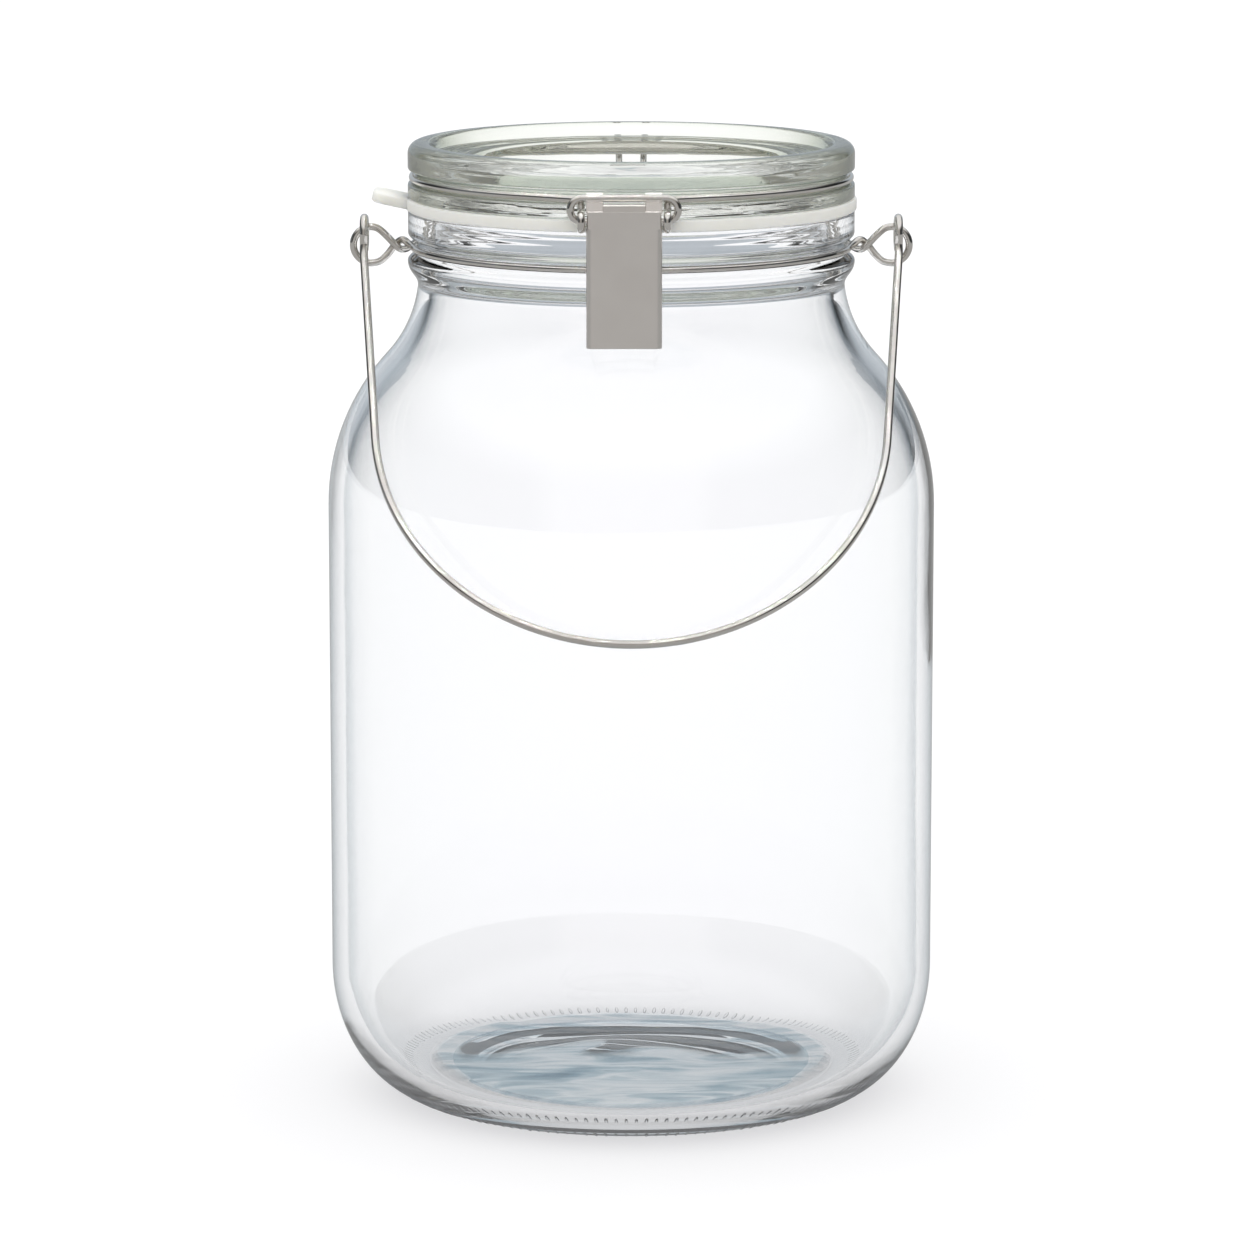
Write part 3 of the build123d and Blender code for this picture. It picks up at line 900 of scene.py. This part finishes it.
def build_gasket():
    """Flat ring with eased edges, and a pull tab that lifts towards its tip."""
    mesh_data = bmesh.new()
    low = (GASKET_INNER_R, RIM_Z + 0.05)
    high = (GASKET_OUTER_R, LID_BOTTOM)
    ring_lathe(mesh_data, rounded_box(low, high, GASKET_EDGE, 4), LATHE_STEPS)
    length = (TAB_START - gasket_low.x) / math.cos(TAB_RISE) - 0.1
    outline = [(-0.6, -TAB_WIDTH / 2)]
    corner_x, corner_y = length - TAB_CORNER, TAB_WIDTH / 2 - TAB_CORNER
    outline += arc((corner_x, -corner_y), (TAB_CORNER, TAB_CORNER), 270, 360, 8)
    outline += arc((corner_x, corner_y), (TAB_CORNER, TAB_CORNER), 0, 90, 8)
    outline += [(-0.6, TAB_WIDTH / 2)]
    along = Vector((-math.cos(TAB_RISE), 0, math.sin(TAB_RISE)))
    up = Vector((math.sin(TAB_RISE), 0, math.cos(TAB_RISE)))
    across = up.cross(along)
    middle = (low[1] + high[1]) / 2 - TAB_THICK / 2 * math.cos(TAB_RISE)
    turned = Matrix((along, across, up)).transposed().to_4x4()
    place = Matrix.Translation((TAB_START, 0, middle)) @ turned
    prism(mesh_data, outline, place, TAB_THICK, 0.45)
    finish_mesh("gasket_ring", mesh_data, silicone, "lid", ["gasket"], smooth_angle=50)


# ---------------------------------------------------------------- wire parts


def finish_wire(name, mesh_data, body, node):
    """Finish a wire piece: its round sides smooth and its cut ends sharp."""
    finish_mesh(name, mesh_data, wire_steel, body, [node], smooth_angle=50)


def hoop_route(radius, height, start, end, steps=120):
    """Route round the jar's axis, angles in degrees from +X."""
    return circle_path((0, 0, height), (1, 0, 0), (0, 1, 0), radius, start, end, steps)


def eye_route(side):
    """Side eye: the front wire rises to the crossing, loops out and back, and passes on to the rear."""
    z = NECK_HOOP_Z
    d_end = [
        (EYE_CENTRE_X + EYE_HALF * math.cos(math.radians(a)), 0, z + EYE_HALF * math.sin(math.radians(a)))
        for a in range(-90, 91, 15)
    ]
    points = [(59.6, -7.9, z + 0.05), (61.2, -3.6, z + 0.7), (63.1, -0.6, z + 1.5), (65.1, 1.05, z - 0.1)]
    points += [(67.2, 0.7, z - 2.7), (69.3, 0.2, z - 4.5)] + d_end
    points += [(69.7, -0.2, z + 4.5), (67.4, -0.8, z + 2.6), (65.1, -1.05, z + 0.2), (63.4, -0.6, z - 1.1)]
    points += [(61.7, 1.6, z - 1.0), (59.7, 7.9, z - 0.1)]
    return [Vector((side * x, y, height)) for x, y, height in smooth_path(points)]


def build_neck_ring():
    """Hoop in the neck groove with its two side eyes and the bar that the lid hinges on."""
    mesh_data = bmesh.new()
    turn = math.degrees(math.atan2(7.9, 59.65))
    right = eye_route(1)
    left = eye_route(-1)
    front = hoop_route(HOOP_R, NECK_HOOP_Z, -180 + turn + 2, -turn - 2)
    rear = hoop_route(HOOP_R, NECK_HOOP_Z, turn + 2, 180 - turn - 2)
    add_wire(mesh_data, front + right + rear + left[::-1], RING_WIRE, closed=True)
    bar_y, bar_z = joint_at["lid_hinge"].y, joint_at["lid_hinge"].z
    half = 8.0
    corners = [
        (half, HOOP_R - 0.8, NECK_HOOP_Z),
        (half, bar_y, NECK_HOOP_Z),
        (half, bar_y, bar_z),
        (-half, bar_y, bar_z),
        (-half, bar_y, NECK_HOOP_Z),
        (-half, HOOP_R - 0.8, NECK_HOOP_Z),
    ]
    add_wire(mesh_data, rounded_path(corners, [2.2] * 4), HINGE_WIRE)
    finish_wire("neck_ring_wire", mesh_data, "jar", "neck_ring")


def build_lid_ring():
    """Hoop in the lid's groove: hooked round the link's bar in front, curled round the hinge bar behind."""
    mesh_data = bmesh.new()
    link_at = joint_at["link_swing"]
    hook_r = RING_WIRE + WIRE_GAP + LID_WIRE
    drop_y = -61.85
    hook_x = 11.45
    tail_x = 4.0
    ends = []
    for side in (1, -1):
        x = link_at.x + side * hook_x
        corners = [
            (x, drop_y, LID_HOOP_Z),
            (x, drop_y, link_at.z + hook_r),
            (x, link_at.y - hook_r, link_at.z + hook_r),
            (x, link_at.y - hook_r, link_at.z - hook_r),
            (x, link_at.y + 0.7, link_at.z - hook_r),
        ]
        reach = math.hypot(x, drop_y)
        angle = math.atan2(drop_y, x) + side * math.acos(HOOP_R / reach)
        start = (HOOP_R * math.cos(angle), HOOP_R * math.sin(angle), LID_HOOP_Z)
        bends = [1.6, 1.4, hook_r - 0.01, hook_r - 0.01]
        ends.append((math.degrees(angle), rounded_path([start] + corners, bends)))
    (right_angle, right), (left_angle, left) = ends
    hoop = hoop_route(HOOP_R, LID_HOOP_Z, right_angle + 1, 360 + left_angle - 1, 200)
    add_wire(mesh_data, right[::-1] + hoop + left, LID_WIRE)
    bar = joint_at["lid_hinge"]
    curl = HINGE_WIRE + WIRE_GAP + LID_WIRE
    for side in (-1, 1):
        x = side * tail_x
        tail = rounded_path(
            [
                (x, HOOP_R - 0.3, LID_HOOP_Z),
                (x, bar.y + curl, LID_HOOP_Z),
                (x, bar.y + curl, bar.z),
            ],
            [2.6],
        )
        tail += circle_path((x, bar.y, bar.z), (0, 1, 0), (0, 0, 1), curl, 0, -285, 30)[1:]
        add_wire(mesh_data, tail, LID_WIRE)
    finish_wire("lid_ring_wire", mesh_data, "lid", "lid_ring")


BAIL_LEAN = math.radians(40.4)
BAIL_X = 73.5
BAIL_EYE_R = 4.3
BAIL_EYE_DROP = 1.75
BAIL_ARC_R = 69.3
BAIL_ARC_CENTRE = 63.4


def build_handle():
    """Carry handle: one wire, an eye curled at each end, bowed round the front of the jar."""
    mesh_data = bmesh.new()
    pivot = joint_at["handle_swing"]
    down = Vector((0, -math.sin(BAIL_LEAN), -math.cos(BAIL_LEAN)))
    out = Vector((0, -math.cos(BAIL_LEAN), math.sin(BAIL_LEAN)))
    arm_start = BAIL_EYE_DROP + BAIL_EYE_R
    reach = math.hypot(BAIL_X, arm_start - BAIL_ARC_CENTRE)
    bow_start = math.degrees(
        math.atan2(arm_start - BAIL_ARC_CENTRE, BAIL_X) + math.acos(BAIL_ARC_R / reach)
    )
    bow_centre = pivot + BAIL_ARC_CENTRE * down
    bow = circle_path(bow_centre, (1, 0, 0), down, BAIL_ARC_R, bow_start, 180 - bow_start, 90)
    ends = []
    for side, bow_end in ((1, bow[0]), (-1, bow[-1])):
        centre = Vector((side * BAIL_X, 0, pivot.z)) + BAIL_EYE_DROP * down
        curl = circle_path(centre, out, down, BAIL_EYE_R, 128, 402, 34)
        arm_root = centre + (BAIL_EYE_R + 2.6) * down
        neck = [curl[-2], curl[-1], centre + 1.15 * out + (BAIL_EYE_R - 0.2) * down, arm_root]
        arm = (bow_end - arm_root).normalized()
        neck += [arm_root + 3.0 * arm]
        ends.append(curl[:-2] + smooth_path(neck, 6))
    add_wire(mesh_data, ends[0] + bow + ends[1][::-1], BAIL_WIRE)
    finish_wire("carry_handle", mesh_data, "handle", "handle")


def build_link():
    """Closed oval of wire that ties the lever to the lid ring."""
    mesh_data = bmesh.new()
    middle = (link_low + link_high) / 2
    half_height = (link_high.z - link_low.z) / 2 - RING_WIRE
    straight = (link_high.x - link_low.x) / 2 - RING_WIRE - half_height
    right_centre = (middle.x + straight, middle.y, middle.z)
    left_centre = (middle.x - straight, middle.y, middle.z)
    route = circle_path(right_centre, (1, 0, 0), (0, 0, 1), half_height, -90, 90, 24)
    route += circle_path(left_centre, (1, 0, 0), (0, 0, 1), half_height, 90, 270, 24)
    add_wire(mesh_data, route, RING_WIRE, closed=True)
    finish_wire("clamp_link", mesh_data, "link", "latch_link")


def build_catch():
    """Spring wire inside the lever, hooked under the neck ring."""
    mesh_data = bmesh.new()
    x = joint_at["lever_swing"].x
    pivot_z, knee_z, bar_z = 244.0, 238.4, 235.55
    arm_x, end_x, pivot_y, foot_y, bar_y = 7.0, 9.8, -64.0, -62.7, -60.9
    half = [
        (end_x, pivot_y, pivot_z),
        (arm_x, pivot_y, pivot_z),
        (arm_x, pivot_y, knee_z),
        (arm_x, foot_y, bar_z),
        (arm_x, bar_y, bar_z),
    ]
    corners = [(x - px, py, pz) for px, py, pz in half] + [(x + px, py, pz) for px, py, pz in half[::-1]]
    add_wire(mesh_data, rounded_path(corners, [0.8] * 8), CATCH_WIRE)
    finish_wire("catch_spring", mesh_data, "lever", "spring_catch")


# ---------------------------------------------------------------- lever


SHEET = 0.8
LEVER_BEND = 1.6
LEVER_SHOULDER = 253.6
LEVER_BACK_Y = -62.6
FLANGE_TOP_Z = 249.1
LIP_HALF = 5.6
KNUCKLE_INNER = 1.08
KNUCKLE_OUTER = 1.6
KNUCKLE_EASED = 0.08
EASED = 0.12


def channel_outline(left, right, front, back):
    """Section of the pressed channel, open to the back, as (x, y) points."""
    inner_bend = LEVER_BEND - SHEET
    points = [(right, back)]
    points += arc((right - LEVER_BEND, front + LEVER_BEND), (LEVER_BEND, LEVER_BEND), 0, -90, 8)
    points += arc((left + LEVER_BEND, front + LEVER_BEND), (LEVER_BEND, LEVER_BEND), 270, 180, 8)
    points += [(left, back), (left + SHEET, back)]
    points += arc((left + LEVER_BEND, front + LEVER_BEND), (inner_bend, inner_bend), 180, 270, 6)
    points += arc((right - LEVER_BEND, front + LEVER_BEND), (inner_bend, inner_bend), -90, 0, 6)
    points += [(right - SHEET, back)]
    return without_repeats(points)[::-1]


def build_lever():
    """Lever pressed from sheet: plate, side flanges, bent lip and two knuckles rolled on the link."""
    mesh_data = bmesh.new()
    bar = joint_at["lever_swing"]
    left, right = lever_low.x, lever_high.x
    front, back = lever_low.y, LEVER_BACK_Y
    bottom = lever_low.z
    up = Matrix.Translation((0, 0, bottom))
    prism(mesh_data, channel_outline(left, right, front, back), up, FLANGE_TOP_Z - bottom, EASED)
    plate = [(left + 0.25, front + 0.45), (left + 0.5, front + 0.12), (left + 1.3, front)]
    plate += [(right - 1.3, front), (right - 0.5, front + 0.12), (right - 0.25, front + 0.45)]
    plate += [(right - 0.3, front + SHEET), (left + 0.3, front + SHEET)]
    above = Matrix.Translation((0, 0, FLANGE_TOP_Z - 2 * EASED))
    prism(mesh_data, plate, above, LEVER_SHOULDER - FLANGE_TOP_Z + 2 * EASED, EASED)
    # The section of lip and knuckles is drawn in (outwards, up) from the link's bar and run along X.
    along_x = Matrix(((0, 0, 1), (-1, 0, 0), (0, 1, 0))).to_4x4()
    face = bar.y - front - 0.015
    behind = face - SHEET
    shoulder = LEVER_SHOULDER - bar.z
    lip_top = -KNUCKLE_OUTER
    lip = [(behind, shoulder - 1.2), (face, shoulder - 1.2)]
    lip += arc((face - 0.4, lip_top - 0.4), (0.4, 0.4), 0, 90, 5)
    lip += [(face - 2.0, lip_top), (face - 2.0, lip_top - SHEET), (behind, lip_top - SHEET)]
    place = Matrix.Translation((bar.x - LIP_HALF, bar.y, bar.z)) @ along_x
    prism(mesh_data, lip, place, 2 * LIP_HALF, 0.05)
    width = (right - left) / 2 - LIP_HALF
    roll = arc((0, 0), (KNUCKLE_OUTER, KNUCKLE_OUTER), -18, -235, 26)
    roll += arc((0, 0), (KNUCKLE_INNER, KNUCKLE_INNER), -235, -18, 24)
    strap = [(0.5, -1.3), (behind, shoulder - 0.6), (behind + 0.45, shoulder - 0.6), (1.15, -1.05)]
    for start in (left, bar.x + LIP_HALF):
        place = Matrix.Translation((start, bar.y, bar.z)) @ along_x
        prism(mesh_data, without_repeats(roll), place, width, KNUCKLE_EASED)
        prism(mesh_data, strap, place, width, KNUCKLE_EASED)
    nodes = ["latch_lever"]
    finish_mesh("clamp_lever", mesh_data, sheet_steel, "lever", nodes, smooth_angle=35)


# ---------------------------------------------------------------- studio


FLOOR_SIZE = 14.0
FLOOR_GLOW = 0.4
# Socket, what is seen directly and what reflections show
FLOOR_TONES = [("Base Color", "C6C6C7", "A7A7A6"), ("Emission Color", "FFFFFF", "000000")]


def build_floor():
    """Pale lit table, wide enough to be the background too; reflections see it as dim."""
    mesh_data = bmesh.new()
    bmesh.ops.create_grid(mesh_data, x_segments=1, y_segments=1, size=FLOOR_SIZE)
    mesh = bpy.data.meshes.new("studio_floor")
    mesh_data.to_mesh(mesh)
    mesh_data.free()
    material, tree, shader = new_material("translucent white light table")
    shader.inputs["Roughness"].default_value = 0.9
    shader.inputs["Specular IOR Level"].default_value = 0.0
    path = add_node(tree, "ShaderNodeLightPath")
    mirrored = add_node(
        tree,
        "ShaderNodeMath",
        settings={"operation": "MULTIPLY"},
        links={0: path.outputs["Is Reflection Ray"], 1: path.outputs["Is Glossy Ray"]},
    )
    for socket, seen, reflected in FLOOR_TONES:
        tone = add_node(
            tree,
            "ShaderNodeMix",
            settings={"data_type": "RGBA"},
            values={6: linear(seen), 7: linear(reflected)},
            links={0: mirrored.outputs[0]},
        )
        tree.links.new(tone.outputs[2], shader.inputs[socket])
    shader.inputs["Emission Strength"].default_value = FLOOR_GLOW
    mesh.materials.append(material)
    floor = bpy.data.objects.new("studio_floor", mesh)
    bpy.context.scene.collection.objects.link(floor)


ROOM_LIGHT = 0.9
OVERHEAD_LIGHT = 1.72
OVERHEAD_ANGLE = 100
WALL_BEHIND = "C6CED5"
WALL_IN_FRONT = "BCB8B4"
# Dark flags stand to each side, from left to right across the room.
SIDE_FLAGS = [
    (0.0, "A8A8A8"),
    (0.08, "3A3A3A"),
    (0.19, "3A3A3A"),
    (0.27, "FFFFFF"),
    (0.70, "F4F4F4"),
    (0.77, "262626"),
    (0.93, "262626"),
    (1.0, "707070"),
]
CEILING_HEIGHTS = [(0.0, "000000"), (0.40, "303030"), (0.56, "C8C8C8"), (0.66, "FFFFFF")]


def build_light():
    """Soft white room: a broad white ceiling, blue-grey walls behind and warm grey ones in front."""
    world = bpy.data.worlds.new("studio")
    bpy.context.scene.world = world
    world.use_nodes = True
    tree = world.node_tree
    background = tree.nodes["Background"]
    place = add_node(tree, "ShaderNodeTexCoord")
    axes = add_node(tree, "ShaderNodeSeparateXYZ", links={0: place.outputs["Generated"]})
    front = add_node(
        tree,
        "ShaderNodeMapRange",
        settings={"interpolation_type": "SMOOTHSTEP"},
        values={"From Min": -0.1, "From Max": -0.8},
        links={"Value": axes.outputs["Y"]},
    )
    walls = add_node(
        tree,
        "ShaderNodeMix",
        settings={"data_type": "RGBA"},
        values={6: linear(WALL_BEHIND), 7: linear(WALL_IN_FRONT)},
        links={0: front.outputs[0]},
    )
    across = add_node(
        tree,
        "ShaderNodeMapRange",
        values={"From Min": -1.0, "From Max": 1.0},
        links={"Value": axes.outputs["X"]},
    )
    flagged = add_node(
        tree,
        "ShaderNodeMix",
        settings={"data_type": "RGBA", "blend_type": "MULTIPLY"},
        values={0: 1.0},
        links={6: walls.outputs[2], 7: colour_ramp(tree, across.outputs[0], SIDE_FLAGS)},
    )
    ceiling = colour_ramp(tree, axes.outputs["Z"], CEILING_HEIGHTS)
    room = add_node(
        tree,
        "ShaderNodeMix",
        settings={"data_type": "RGBA"},
        values={7: (1.0, 1.0, 1.0, 1.0)},
        links={0: ceiling, 6: flagged.outputs[2]},
    )
    tree.links.new(room.outputs[2], background.inputs["Color"])
    background.inputs["Strength"].default_value = ROOM_LIGHT


def build_overhead():
    """Wide soft lamp straight above; its light falls through the glass onto the floor."""
    data = bpy.data.lights.new("overhead", "SUN")
    data.energy = OVERHEAD_LIGHT
    data.angle = math.radians(OVERHEAD_ANGLE)
    data.cycles.use_multiple_importance_sampling = False
    lamp = bpy.data.objects.new("overhead", data)
    lamp.location = (0, 0, 2.0)
    bpy.context.scene.collection.objects.link(lamp)


LENS = 174.0
CAMERA_AT = (-0.36, -1671.2, 428.3)
CAMERA_TILT = 10.14


def build_camera():
    """Long lens, a little above the lid, looking slightly down."""
    data = bpy.data.cameras.new("camera")
    data.lens = LENS
    data.sensor_width = 36.0
    data.clip_end = 60.0
    camera = bpy.data.objects.new("camera", data)
    camera.location = Vector(CAMERA_AT) * MM
    camera.rotation_euler = (math.radians(90 - CAMERA_TILT), 0, 0)
    bpy.context.scene.collection.objects.link(camera)
    bpy.context.scene.camera = camera


build_jar()
build_foot_knurls()
build_lid()
build_gasket()
build_neck_ring()
build_lid_ring()
build_handle()
build_link()
build_lever()
build_catch()
build_floor()
build_light()
build_overhead()
build_camera()

scene = bpy.context.scene
scene.view_settings.view_transform = "Standard"
# Light crosses many glass walls here. Caustics are left out, as lamp light passes the glass instead.
scene.cycles.max_bounces = 32
scene.cycles.transmission_bounces = 28
scene.cycles.glossy_bounces = 24
scene.cycles.transparent_max_bounces = 32
scene.cycles.caustics_reflective = False
scene.cycles.caustics_refractive = False
